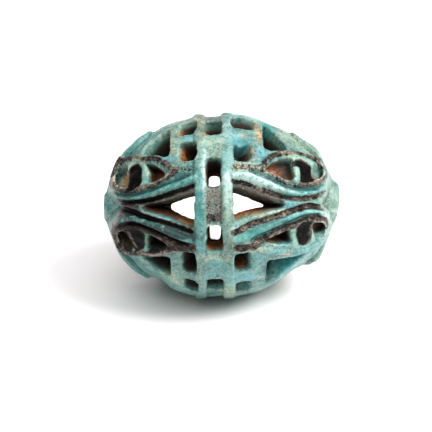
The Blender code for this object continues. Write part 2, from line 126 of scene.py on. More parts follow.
# The lines of each quarter of a face.  The eye's two lids and its openings lie between the
# brow and the opening at the side.
QUARTERS = {
    "upper_left": {
        "furrow": ((-3.6, 12.7), (-6.1, 10.4), (-8.9, 7.5), (-11.7, 4.8), (-13.5, 4.2), (-15.2, 5),
            (-16.8, 9), (-18.2, 21)),
        "brow": ((-3.5, 17), (-6.1, 14.2), (-8.2, 12), (-10.3, 9.6), (-12.1, 7.9), (-13.8, 7.6),
            (-15.5, 9), (-17.3, 15), (-18.5, 32)),
        "groove": ((-4.7, 19), (-6.1, 17.4), (-8.2, 15), (-10.3, 12.6), (-12.4, 11), (-14.5, 11),
            (-16.4, 15), (-17.7, 25)),
        "near_lid": ((-6.2, 25), (-7, 21.8), (-8.2, 19.2), (-9.6, 16.8), (-11.2, 15.4), (-12.9, 15),
            (-14.5, 15.6), (-16.3, 21), (-17.5, 32), (-18.2, 48), (-18.3, 64)),
        "far_lid": ((-7.2, 25), (-8.2, 30), (-9.6, 35), (-11, 39.5), (-12.4, 44), (-13.9, 51),
            (-15.5, 61), (-16.6, 68), (-17.6, 70), (-18.3, 64)),
        "tail": ((-3.7, 23.8), (-5.6, 23.5), (-7, 24.5)),
        "inner": ((-8.6, 22.3), (-9.6, 19.8), (-10.8, 18.8), (-11.5, 19.8), (-11.4, 28), (-11.9, 36.6),
            (-11.3, 36.2), (-10.1, 31.5), (-9.1, 27)),
        "outer": ((-15.3, 22.5), (-16.4, 24), (-17.3, 36), (-17.3, 54), (-16.6, 62), (-15.3, 50),
            (-15.2, 34)),
        "pupil": ((-12.9, 18), (-14, 15.5), (-15.5, 16), (-15.3, 26), (-15, 36), (-14.4, 42.5),
            (-13.4, 41.5), (-12.7, 34), (-12.6, 25)),
        "side": ((-7.7, 37), (-8.8, 37), (-10.4, 41.5), (-12.8, 48.5), (-12.3, 56), (-10.4, 64),
            (-7.5, 68)),
        "leaf": 10.7, "lids": (0.8, 0.95), "lid_spread": (0.52, 0.5), "tail_paint": 0.54,
        "furrow_paint": 1, "furrow_spread": 0.32, "groove_paint": 0.45, "socket": 0.45,
        "depths": (2.8, 1.9),
    },
    "lower_left": {
        "furrow": ((-4.2, -16.4), (-5.5, -14.8), (-8.2, -12.1), (-11, -9.9), (-13.5, -7.3), (-15, -4.4),
            (-16.5, -2.6), (-17.6, -6.4), (-18.4, -14)),
        "brow": ((-4.4, -22.2), (-5.5, -21.4), (-6.9, -19.9), (-8.3, -18.2), (-9.7, -16.4), (-11, -14.8),
            (-12.4, -13.2), (-13.9, -12.1), (-15.3, -12.3), (-16.8, -17.5), (-17.9, -29)),
        "groove": ((-4.3, -24.8), (-5.5, -24.4), (-6.9, -23.3), (-8.3, -21.6), (-9.9, -19.4),
            (-11.8, -17.3), (-13.2, -16.3), (-15, -17.2), (-16.6, -25)),
        "near_lid": ((-5, -28), (-6.2, -27.7), (-7.8, -26.2), (-8.8, -24.2), (-9.9, -22.2),
            (-11.2, -20.6), (-12.7, -19.6), (-14.6, -19.5), (-16, -23), (-17.4, -36), (-17.9, -50),
            (-17.8, -58)),
        "far_lid": ((-6.2, -28.6), (-7.6, -30.5), (-8.8, -34), (-10.3, -38), (-12, -41.5), (-13.7, -47),
            (-15.2, -55), (-16.6, -62), (-17.8, -58)),
        "tail": ((-3.7, -27.4), (-5.4, -27.6), (-7, -27.6)),
        "inner": ((-8.4, -28.6), (-9.7, -24.9), (-11, -23), (-11.8, -23.6), (-11.8, -35.3),
            (-11.3, -36.8), (-10, -34.8), (-8.7, -31.6)),
        "outer": ((-15.6, -30), (-16.7, -34), (-17.1, -46), (-16.5, -56), (-15, -51), (-14.4, -44.5)),
        "pupil": ((-12.5, -22), (-13.6, -20), (-15.2, -21.5), (-15.6, -30), (-14.9, -39), (-13.8, -43),
            (-12.7, -38), (-12.3, -30)),
        "side": ((-12.6, -47.5), (-11.2, -43.5), (-8.8, -38.5), (-7.9, -39), (-7.8, -59.5), (-10.4, -54.5)),
        "leaf": 11.7, "lids": (1, 0.95), "lid_spread": (0.7, 0.7), "tail_paint": 1, "furrow_paint": 1.1,
        "furrow_spread": 0.46, "groove_paint": 1, "socket": 0.75, "depths": (3, 3),
    },
    "upper_right": {
        "furrow": ((3.3, 15), (4.3, 15.2), (5.7, 14.2), (7.5, 11.8), (9.4, 9.2), (11.2, 7), (13.4, 5.2),
            (15.7, 5.2), (18.1, 9.5), (19.7, 22)),
        "brow": ((3.5, 18.6), (5.3, 19.2), (6.7, 18.8), (8.2, 16.4), (9.7, 13.6), (11.2, 11.4),
            (13.4, 9.4), (15.7, 9.4), (18.1, 14.5), (19.9, 33)),
        "groove": ((6.4, 22.6), (7.6, 21), (8.8, 19), (10.5, 16.4), (12.4, 14), (14.2, 13), (16.5, 14),
            (18.4, 21), (19.5, 34)),
        "near_lid": ((8, 24.6), (9.5, 21.8), (10.9, 19.2), (12.4, 17.4), (14.2, 17), (15.8, 18),
            (17.3, 22), (18.6, 29.5), (19.4, 42), (19.6, 55)),
        "far_lid": ((8.6, 27.4), (9.3, 31), (10.4, 36.5), (11.8, 41), (13.7, 45.5), (15.4, 50),
            (16.8, 54), (18.2, 57), (19.5, 55)),
        "tail": ((3.6, 24.4), (5.6, 25), (7.6, 25.6)),
        "inner": ((8.9, 25), (9.8, 29), (11.3, 34.5), (12.8, 38.5), (13.9, 39), (14.2, 23), (12.8, 20),
            (11.2, 21), (9.7, 23)),
        "outer": ((17.3, 28), (17.2, 44), (18.3, 53), (19.1, 50), (19, 36), (18.2, 29)),
        "pupil": ((14.1, 34), (14.4, 40.5), (15.6, 44.5), (16.9, 42), (17.1, 32), (17.2, 24),
            (15.8, 19.5), (15.2, 20.5), (15.1, 34)),
        "side": ((8.7, 42), (9.8, 40.5), (11.4, 44), (13, 48.5), (12.8, 52), (11.6, 58), (10.4, 66),
            (8.9, 78)),
        "leaf": 13.6, "lids": (0.66, 0.8), "lid_spread": (0.62, 0.66), "tail_paint": 0.66,
        "furrow_paint": 0.76, "furrow_spread": 0.48, "groove_paint": 0, "socket": 0, "depths": (2.2, 1.3),
    },
    "lower_right": {
        "furrow": ((3.2, -17.1), (4.4, -15.6), (5.9, -13.4), (7.4, -11.5), (8.9, -10), (10.4, -8.5),
            (11.9, -6.8), (13.4, -4.8), (14.9, -3), (16.5, -1.4), (18, -2.2), (19.6, -6.5), (20.6, -13)),
        "brow": ((3.3, -21.4), (5.9, -19.8), (8.1, -16.8), (10.4, -13.8), (11.9, -11.8), (13.4, -9.8),
            (14.9, -8), (16.5, -6.6), (18, -7), (19.4, -11.5)),
        "groove": ((6.6, -23), (8.2, -20.6), (9.8, -18.2), (11.6, -15.6), (13.2, -13.4), (14.8, -11.8),
            (16.5, -10.8), (18, -11.6)),
        "near_lid": ((7, -26.6), (8.2, -24.6), (9.6, -22.2), (11.9, -18.6), (14.1, -17), (16.1, -15.6),
            (17.8, -16), (19.2, -22), (19.7, -32)),
        "far_lid": ((7.2, -29), (9.2, -32.6), (11.1, -36), (13, -40), (15, -44), (16.9, -47), (18.6, -46),
            (19.6, -40)),
        "tail": ((3.6, -27.4), (5.2, -27.6), (6.6, -27.8)),
        "inner": ((8.9, -25.2), (10.5, -22.8), (12.2, -21.4), (13.3, -21.4), (13.5, -30), (12.8, -32.4),
            (11.6, -31), (9.9, -28)),
        "outer": ((17.15, -21.2), (18.1, -21.5), (19.3, -28.5), (19.2, -40), (17.6, -38.5)),
        "pupil": ((14.6, -18), (16.9, -17), (16.9, -33), (16.3, -39), (15.3, -37.5), (14.6, -33)),
        "side": ((9.1, -40.5), (11.1, -43), (12.8, -46), (15.2, -50.5), (16, -54), (12.5, -61.5), (9, -71)),
        "leaf": 15.9, "lids": (1, 0.12), "lid_spread": (0.68, 0.5), "tail_paint": 0.95, "furrow_paint": 1,
        "furrow_spread": 0.56, "groove_paint": 0.4, "socket": 0, "depths": (2.9, 2.6),
    },
}
# The beams between a furrow and the upper wall of its triangle, which the material paints grey-brown, partly as
# painted shade of their down-facing lower faces
BEAMS = (
    ((-3.4, 13.6), (-6.1, 11.2), (-8.9, 8.2), (-11.7, 5.2), (-14, 3), (-12, -1), (-3.4, 3)),
    ((3.3, 15), (5.7, 14), (7.5, 11.6), (9.4, 9), (11.6, 6.6), (12.2, 1), (3.3, 5)),
)
# Edges where the paint has worn off and the pale body shows, and where a pale line is painted as a highlight on
# the rounded edge: strength, then the line
WORN_AND_HIGHLIGHT_EDGES = (
    (1, (-15.5, 17.5), (-15.3, 24), (-15.2, 34), (-14.7, 43), (-13.7, 43.5)),
    (1, (-11, 18.3), (-9.4, 19.4), (-8.4, 21.4), (-7.5, 23.6)),
    (0.6, (-15.1, -27), (-14.6, -33), (-13.7, -40)),
    (0.8, (-12.4, -41.8), (-10.3, -38), (-8, -33.5), (-5.8, -30.2)),
    (0.8, (17.1, -21), (16.9, -28), (16.9, -35), (16, -39.5)),
    (0.6, (9.2, -25.6), (11, -22.6), (13, -20.4), (14.2, -19.4)),
    (0.9, (9.2, -40.3), (11.2, -42.8), (13, -45.8), (15.2, -50.2)),
    (0.7, (14.3, 41.5), (15.6, 45.2), (16.8, 43)), (0.7, (7.2, 28.6), (6, 27.6), (4.2, 27.2)),
    (0.7, (-17.9, 21), (-16.5, 0), (-17.9, -21)), (0.6, (19.9, 18), (18.8, 1), (20.1, -14)),
)
# Where the carved skin ends in a notch and the plain end of the bead shows
NOTCHES = (
    ((-16.6, 0), (-18, 22), (-19.2, 60), (-20.5, 60), (-20.5, -60), (-19.2, -60), (-18, -22)),
    ((18.9, 1), (20, 18), (21.2, 60), (23, 60), (23, -60), (21.2, -60), (20.2, -14)),
)

# Where the glaze is worn, pale, bluish, dark or stained, and where light and shade are painted
# into it: the pale patches are partly painted light on the right side and painted highlights on
# the brows, the pale and blue ones in the dished lattice opening are painted light, and the dark
# ones are partly painted shade on the left side and under the lower brows:
# (x, angle, spread along x, spread in angle, strength)
COATS = {
    "cream": ((-7, 46, 1.3, 11, 0.8), (-5, 80, 4, 9, 0.9), (-2.4, 50, 0.9, 16, 0.35),
        (0, 40, 1.8, 9, 0.5), (-7.3, -60, 1.3, 9, 0.8), (-2.4, -40, 1, 10, 0.3), (5, 50, 1.4, 3, 0.7),
        (13, 62, 4, 8, 0.5), (15, 78, 4, 12, 0.5), (20.5, 0, 2, 60, 0.35), (2.4, -72, 1.4, 12, 0.7),
        (2.4, 5, 0.9, 14, 0.5), (8.2, -31, 1.6, 3, 0.9), (0, -33.5, 1.8, 2.5, 1), (-8.5, 62, 2, 8, 0.5),
        (2.4, -26, 0.9, 8, 0.6), (4.5, 23, 1, 3, 0.6), (-6.3, 27, 1.6, 3, 0.4), (10.5, 22.5, 2.6, 3, 0.8),
        (12.5, 43, 3.6, 4, 0.8), (17.6, 26, 1.4, 6, 0.5), (5.4, 25, 2.4, 2.4, 0.25),
        (-12.6, 46, 3, 6, 0.6), (-12, 15.5, 2.5, 2, 0.4), (11, -38.5, 2, 2, 0.8), (-17.5, 34, 0.7, 14, 1),
        (7.5, -6.5, 4.5, 3, 0.7), (-7, -9.5, 4, 2, 0.25)),
    # pale: partly weathering, partly painted light and painted highlight
    "pale": ((4.3, 48, 1, 2.4, 0.6), (6.5, 18.2, 3.4, 2.4, 1.5), (11.8, 11.6, 2.4, 2.2, 1.1),
        (9.2, 14.6, 1.8, 2.2, 1.2), (14, -62, 5, 9, 0.7), (2.4, 12, 0.9, 14, 0.8),
        (-1.7, 22, 0.35, 16, 1), (3.6, -14, 1.2, 3, 0.7), (18, 35, 2, 10, 0.5), (19.5, -22, 1.6, 14, 0.8),
        (-18.6, 0, 1.2, 40, 0.5), (6, 84, 3, 6, 0.6), (2.4, 53, 1, 12, 0.4), (8, -55, 1.6, 3, 0.7)),
    "blue": ((-8, 34, 1.3, 4, 1), (-4.5, 48.5, 1.6, 3, 0.8), (8.3, 38, 1.2, 6, 1), (5.2, 52, 2.4, 5, 0.5),
        (5, -52, 3, 6, 0.9), (9, -36, 4, 5, 0.7), (0, -40, 1.6, 8, 0.6), (14, -45, 4, 8, 0.6),
        (-9, 78, 3, 9, 0.5), (13.4, -1, 0.9, 3, 1), (13, -58, 3, 9, 1.3), (4.8, 45.5, 1.6, 4, 1.4),
        (-7.5, -78, 3, 10, 0.6), (2.4, 27, 0.9, 9, 0.5), (-2.6, -25, 0.8, 8, 0.6), (-7, -8, 4, 2.6, 1.1)),
    "teal": ((-2.6, 2, 0.9, 12, 0.9), (-13, -76, 3, 16, 0.7), (8, -18.5, 4, 3, 1), (13, -11.5, 4, 3, 1),
        (-14, 74, 3, 8, 0.5), (-18.8, 0, 0.7, 26, 0.7), (-9, -17.5, 4, 3, 0.6), (9.2, 66, 1.4, 18, 1.4),
        (4.8, 48, 1.8, 4, 0.8), (12, -57, 3.2, 10, 1.5), (3.8, 11, 0.6, 2.5, 0.8),
        (-11, -14.2, 2.6, 2.2, 0.6), (5.6, 54.5, 1.4, 2, 0.7), (-7.5, 14, 4.5, 1.8, 0.5),
        (-12.5, 9.5, 3, 2.4, 0.6)),
    # dark: partly darker glaze, partly painted shade
    "dark": ((-2.4, 58, 1, 12, 0.15), (9.4, 56, 1.2, 7, 0.7), (-13.5, -24, 5, 16, 1),
        (-5, -27.5, 2.5, 3, 1), (2.4, -25, 1, 8, 0.6), (-2.4, -1, 0.9, 5, 0.3), (-15.5, 0, 2.5, 10, 1),
        (-7.5, 8.5, 4, 2.2, 0.6), (6.8, 9.6, 3.6, 2.2, 0.5), (-12, -76, 4, 16, 0.35),
        (-6.5, -19.5, 3, 2.6, 0.8), (-8.8, -16.4, 5, 3.2, 1), (-16.5, 25, 2, 20, 0.4),
        (0, 75, 1.5, 6, 0.8), (-2.2, 52, 0.8, 4, 0.6), (5.2, 53.5, 1.6, 2, 0.45),
        (9, -16.8, 3.5, 2.2, 0.3), (11.5, -12.4, 5, 1.8, 0.6), (9.6, -52, 1.4, 14, 0.9),
        (-9.5, -19.4, 4.5, 1.6, 1.2)),
    "tan": ((6.6, 37, 0.5, 4, 0.7), (-2.4, 72, 1, 5, 0.3), (0.2, 71.5, 1.6, 2.5, 0.15),
        (-1.9, 50, 0.5, 2.5, 0.7), (8, 55, 0.75, 9, 1), (6.8, 69, 1.6, 4, 0.8), (5.4, 52, 0.9, 2.2, 0.35),
        (-16.6, 42, 0.7, 9, 1.3), (3.9, 24, 0.5, 1.8, 0.7), (12.5, -39.5, 0.7, 2, 0.9),
        (-2.2, 62, 0.5, 4, 0.6), (-11.2, 40.3, 1.3, 2.2, 0.9), (-17.2, 38, 0.5, 10, 0.5)),
    "warm": ((-16.2, 38, 0.9, 20, 1.2), (-10.4, 27, 2.2, 7, 0.9), (-16.4, -42, 0.8, 10, 0.8),
        (-5.9, 37, 1.1, 8, 1.2), (-6.2, 60, 1.2, 8, 1.2), (-11.3, 43, 2, 3.5, 0.8), (11, 26, 2.2, 7, 1.3),
        (12.8, 22, 1.2, 3.5, 0.8), (17.8, 30, 1.2, 8, 0.8), (4.4, 66, 1.8, 6, 1.2), (7, 62, 0.8, 6, 0.7),
        (5.6, 32, 1.6, 4, 0.9), (5, -47, 1.6, 1.6, 0.8), (10.5, -28, 2.4, 3, 0.9),
        (17.8, -34, 1.2, 4, 0.8), (0, -28.5, 1.4, 2.4, 0.9), (-1.2, -24, 0.4, 8, 0.8),
        (-1.3, 20, 0.4, 8, 0.8), (0, 57, 1.8, 7, 1.2), (-6, -12, 5, 4, 1.1), (10.6, 42, 1.6, 2, 0.7),
        (7, -8, 5, 4, 1.2), (-9.8, 0.5, 3, 5, 1.1), (10.6, 1, 1.4, 3, 0.6)),
}
# In the same form: where the walls of the openings take less earth and less painted shade (or,
# below zero, more of both, the painted shade where a wall falls into shadow), the upper walls below
# the beams, which take less of both, and patches of paint and of solid black besides the painted lines
LESS_SOIL_AND_SHADE = (
    (4.8, 48, 2.2, 6, 3.2), (11.8, -58, 3.6, 14, 3.6), (9, 62, 1.2, 16, 2.4), (-15.8, -44, 1.4, 12, -1.4),
    (5, -68, 2, 8, 1.4), (-12, 54, 1.5, 10, 0.8), (-17.1, 34, 1.1, 18, 3.4), (0, 64, 1.8, 7, 1.2),
    (-10, -50, 2.6, 9, -1.3), (-4.6, -50, 1.8, 24, -0.9),
)
BELOW_BEAMS = ((-6.5, -10.5, 4.5, 6, 1), (7, -8, 4.5, 6, 1))
PAINTED = ((-15.4, -3, 2.2, 13, 1.15), (-16.8, -26, 1.8, 18, 1.1))
BLACKENED = ((-14.8, -4, 2, 5, 0.58),)
# Depth under the carved skin, in millimetres, that the materials read as 1
DEEPEST = 8.0

# ---------------------------------------------------------------- relief
# Height of each feature over the plain barrel, and half the width of the lines
RELIEF = {
    "brow": 0.50, "furrow": -0.60, "groove": -0.42, "lid": 0.42, "tail": 0.10, "pupil": -0.12,
    "leaf": 0.62, "leaf_line": -0.3, "notch": -1.6,
}
STROKE_WIDTHS = {"brow": 0.62, "furrow": 0.58, "groove": 0.5}
LID_WIDTH, TAIL_WIDTH = 0.44, 0.72
# Outline of a leaf: (share of its length, half its width in degrees), and where it ends
LEAF_EDGE = ((0, 1.5), (0.08, 9), (0.30, 17), (0.60, 22), (1, 26))
LEAF_END_LEFT, LEAF_END_RIGHT = 18.6, 20.2
# How widely corners are rounded: at an opening's edge and floor, at the plain ends, in the hollow
EDGE_ROUNDING, FLOOR_ROUNDING, CORE_ROUNDING, CAVITY_ROUNDING = 0.42, 0.8, 0.4, 0.5
# The right end sits a little high: how far its knob and the skin round it are lifted
KNOB_LIFT, SKIN_LIFT = 0.45, 0.35
# How far the beams' lower faces slope in by the edge of their openings
BEAM_SLOPE = 1.0
# How far the lines wander, how ragged the openings are and how high the surface ripples
WARP = 0.07
RAGGEDNESS = 0.05
SURFACE_RIPPLE = 0.05
# How fast the triangles' upper and lower walls close in with depth, in degrees a millimetre
TAPER_UP, TAPER_DOWN = 0.26, 0.72
# How much the outer walls of the lattice openings lean in, sideways for each unit of depth
WALL_LEAN = 0.32
# Swellings and dents of one face alone, as the coats above but in millimetres: the last one is
# a lattice opening that is dished at its upper edge
SWELLINGS = (
    (5.4, 90, 2.2, 14, 0.5), (14, -90, 2.4, 30, -0.85), (-10, -92, 1.7, 26, -0.75),
    (18.8, -62, 2.2, 34, 0.45), (-17, 42, 1.6, 18, 0.4), (4.9, 45.5, 1.4, 5, -1.5),
)

# ---------------------------------------------------------------- how fine the mesh is
STEP = 0.225
MOST_FACES = 192000


# ---------------------------------------------------------------- the barrel and its cuts
def smooth_step(low, high, value):
    """0 below low, 1 above high, smooth between."""
    share = np.clip((value - low) / (high - low), 0.0, 1.0)
    return share * share * (3.0 - 2.0 * share)


def smooth_fall(low, high, value):
    """1 below low, 0 above high, smooth between."""
    return 1.0 - smooth_step(low, high, value)


def barrel_radius(x):
    """Radius of the plain barrel, zero past its ends."""
    left = x < 0
    share = np.minimum(np.abs(x) / np.where(left, LEFT_REACH, RIGHT_REACH), 1.0)
    return BARREL_RADIUS * np.sqrt(1.0 - share ** np.where(left, LEFT_FULLNESS, RIGHT_FULLNESS))


def slope_length(x):
    """Length along the barrel's slope for each unit of x."""
    rise = (barrel_radius(x - 0.5 * SLOPE_STEP) - barrel_radius(x + 0.5 * SLOPE_STEP)) / SLOPE_STEP
    return np.minimum(np.sqrt(1.0 + rise * rise), STEEPEST_STRETCH)


def place_x(surface_x, radius):
    """Where the cut that starts at surface_x lies at a radius: square to the barrel, up to a
    limit that fades away towards the ends."""
    side = np.sign(surface_x)
    slope = (barrel_radius(surface_x) - barrel_radius(surface_x + SLOPE_STEP * side)) / SLOPE_STEP
    lean = side * np.clip(slope, 0.0, STEEPEST_LEAN) * smooth_fall(*LEAN_FADE, np.abs(surface_x))
    return surface_x + lean * (radius - barrel_radius(surface_x))


def surface_x_of(x, radius):
    """The surface_x whose cut passes through a point, found by halving."""
    low = np.full_like(x, LEFT_END - 6.0)
    high = np.full_like(x, RIGHT_END + 6.0)
    for _ in range(34):
        middle = 0.5 * (low + high)
        beyond = place_x(middle, radius) > x
        high = np.where(beyond, middle, high)
        low = np.where(beyond, low, middle)
    return 0.5 * (low + high)


def steepness(x):
    """0 on the bead's body, 1 on its steep ends."""
    return smooth_step(*STEEP_ENDS, np.abs(x))


# ---------------------------------------------------------------- maps of the unrolled surface
def turned(angle):
    """An angle brought into -180 to 180."""
    return (angle + 180.0) % 360.0 - 180.0


class Surface:
    """The unrolled surface as a grid of places, x by angle; the angle runs right round."""

    def __init__(self, step):
        self.xs = np.arange(LEFT_END - 0.8, RIGHT_END + 0.8, step)
        count = int(round(2.0 * math.pi * BARREL_RADIUS / step))
        self.angles = (np.arange(count) + 0.5) * 360.0 / count - 180.0
        self.x, self.angle = np.meshgrid(self.xs, self.angles, indexing="ij")
        self.out = np.abs(self.x)
        self.radius = np.maximum(barrel_radius(self.x), 2.0)
        # Angle from the middle of the nearer face
        self.front = np.minimum(np.abs(turned(self.angle)), np.abs(turned(self.angle - 180.0)))
        self.step = step

    def empty(self, value=0.0):
        return np.full(self.x.shape, value)

    def noise(self, size, seed):
        """Smooth noise of unit spread, its lumps about one size across."""
        random = np.random.RandomState(SEED * 1000 + seed)
        field = random.standard_normal(self.x.shape)
        rows = np.fft.fftfreq(self.x.shape[0], self.step)[:, None]
        columns = np.fft.fftfreq(self.x.shape[1], self.step)[None, :]
        filtered = np.fft.ifft2(np.fft.fft2(field) * np.exp(-(rows ** 2 + columns ** 2) * (1.9 * size) ** 2))
        return filtered.real / filtered.real.std()

    def sample(self, field, x, angle):
        """Values of a field at places, blended between grid points."""
        count = len(self.angles)
        row = np.clip((x - self.xs[0]) / self.step, 0.0, len(self.xs) - 1.001)
        column = (angle - self.angles[0]) / 360.0 * count
        row0, column0 = np.floor(row).astype(int), np.floor(column).astype(int)
        row_share, column_share = row - row0, column - column0
        column0, column1 = column0 % count, (column0 + 1) % count
        near = field[row0, column0] * (1 - column_share) + field[row0, column1] * column_share
        far = field[row0 + 1, column0] * (1 - column_share) + field[row0 + 1, column1] * column_share
        return near * (1 - row_share) + far * row_share

    def patches(self, table, turns=(0.0, 180.0)):
        """Sum of soft patches, on the front face and on the back one unless turns says less."""
        total = self.empty()
        for x, angle, x_spread, angle_spread, strength in table:
            for turn in turns:
                gap = turned(self.angle - angle - turn)
                total += strength * np.exp(-((self.x - x) / x_spread) ** 2 - (gap / angle_spread) ** 2)
        return total

    def distance(self, points, reach, closed=False):
        """Map of the distance to a line, or to an outline and negative inside it; far past its reach."""
        low, high = np.min(points, axis=0), np.max(points, axis=0)
        rows = np.nonzero((self.xs >= low[0] - reach) & (self.xs <= high[0] + reach))[0]
        least = max(float(np.min(barrel_radius(self.xs[rows]))), 2.0)
        spread = math.degrees(reach / least) + 0.5 * (high[1] - low[1])
        middle = 0.5 * (low[1] + high[1])
        relative = turned(self.angles - middle)
        columns = np.nonzero(np.abs(relative) <= spread)[0]
        window = np.ix_(rows, columns)
        x = self.x[window]
        angle = (middle + relative)[columns][None, :] + 0.0 * x
        edges = zip(points, points[1:] + points[:1] if closed else points[1:])
        scale = np.radians(1.0) * np.maximum(barrel_radius(x), 2.0)
        field = self.empty(FAR)
        field[window] = nearest_edge(edges, x, angle, closed, slope_length(x), scale)[0]
        return field


def nearest_edge(edges, x, y, signed, x_scale=1.0, y_scale=1.0):
    """Distance from each place to the nearest of the edges, negative inside their outline if it
    is to be signed, and the x of the nearest point."""
    best = np.full(x.shape, FAR)
    nearest = x
    inside = np.zeros(x.shape, dtype=bool)
    for (ax, ay), (bx, by) in edges:
        to_x, to_y = (ax - x) * x_scale, (ay - y) * y_scale
        run, rise = (bx - ax) * x_scale, (by - ay) * y_scale
        share = np.clip(-(to_x * run + to_y * rise) / (run * run + rise * rise + 1e-12), 0.0, 1.0)
        gap = np.hypot(to_x + share * run, to_y + share * rise)
        nearest = np.where(gap < best, ax + share * (bx - ax), nearest)
        best = np.minimum(best, gap)
        if signed and by != ay:
            inside ^= ((ay > y) != (by > y)) & (x < ax + (y - ay) / (by - ay) * (bx - ax))
    return np.where(inside, -best, best), nearest


def smooth_line(points, closed=False, pieces=6):
    """More points along a line, on a smooth curve through its own."""
    count = len(points)
    result = []
    for index in range(count if closed else count - 1):
        around = [index + offset for offset in (-1, 0, 1, 2)]
        around = [place % count if closed else min(max(place, 0), count - 1) for place in around]
        before, start, end, after = (np.array(points[place], dtype=float) for place in around)
        for piece in range(pieces):
            t = piece / pieces
            point = 0.5 * (
                2 * start + (end - before) * t + (2 * before - 5 * start + 4 * end - after) * t * t
                + (3 * start - 3 * end + after - before) * t ** 3)
            result.append(tuple(point.tolist()))
    return result if closed else result + [tuple(map(float, points[-1]))]


def smooth_corners(points, cut=0.24):
    """An outline with each corner taken off along two short chords."""
    result = []
    for index in range(len(points)):
        before, here, after = (
            np.array(points[place % len(points)], dtype=float) for place in (index - 1, index, index + 1))
        first, last = here + (before - here) * cut, here + (after - here) * cut
        result += [tuple(first), tuple(0.5 * here + 0.25 * (first + last)), tuple(last)]
    return result


def rectangle(x_low, x_high, low, high):
    """Corners of an opening."""
    return [(x_low, low), (x_high, low), (x_high, high), (x_low, high)]


def leaf_points(quarter, half):
    """Outline of the leaf that lies over the top or the bottom of one side."""
    sign = math.copysign(1.0, quarter["brow"][0][0])
    length = (LEAF_END_LEFT if sign < 0 else LEAF_END_RIGHT) - quarter["leaf"]
    edge = [(sign * (quarter["leaf"] + length * share), spread) for share, spread in LEAF_EDGE]
    points = [(x, half * 90.0 - spread) for x, spread in edge]
    return points + [(x, half * 90.0 + spread) for x, spread in reversed(edge)]


def round_ridge(distance, width):
    """1 on a ridge's middle, falling round to 0 at its width."""
    return np.sqrt(np.clip(1.0 - (distance / width) ** 2, 0.0, 1.0))


def soft_edge(distance, softness):
    """1 inside an outline, 0 outside, with a soft edge."""
    return smooth_fall(-softness, softness, distance)


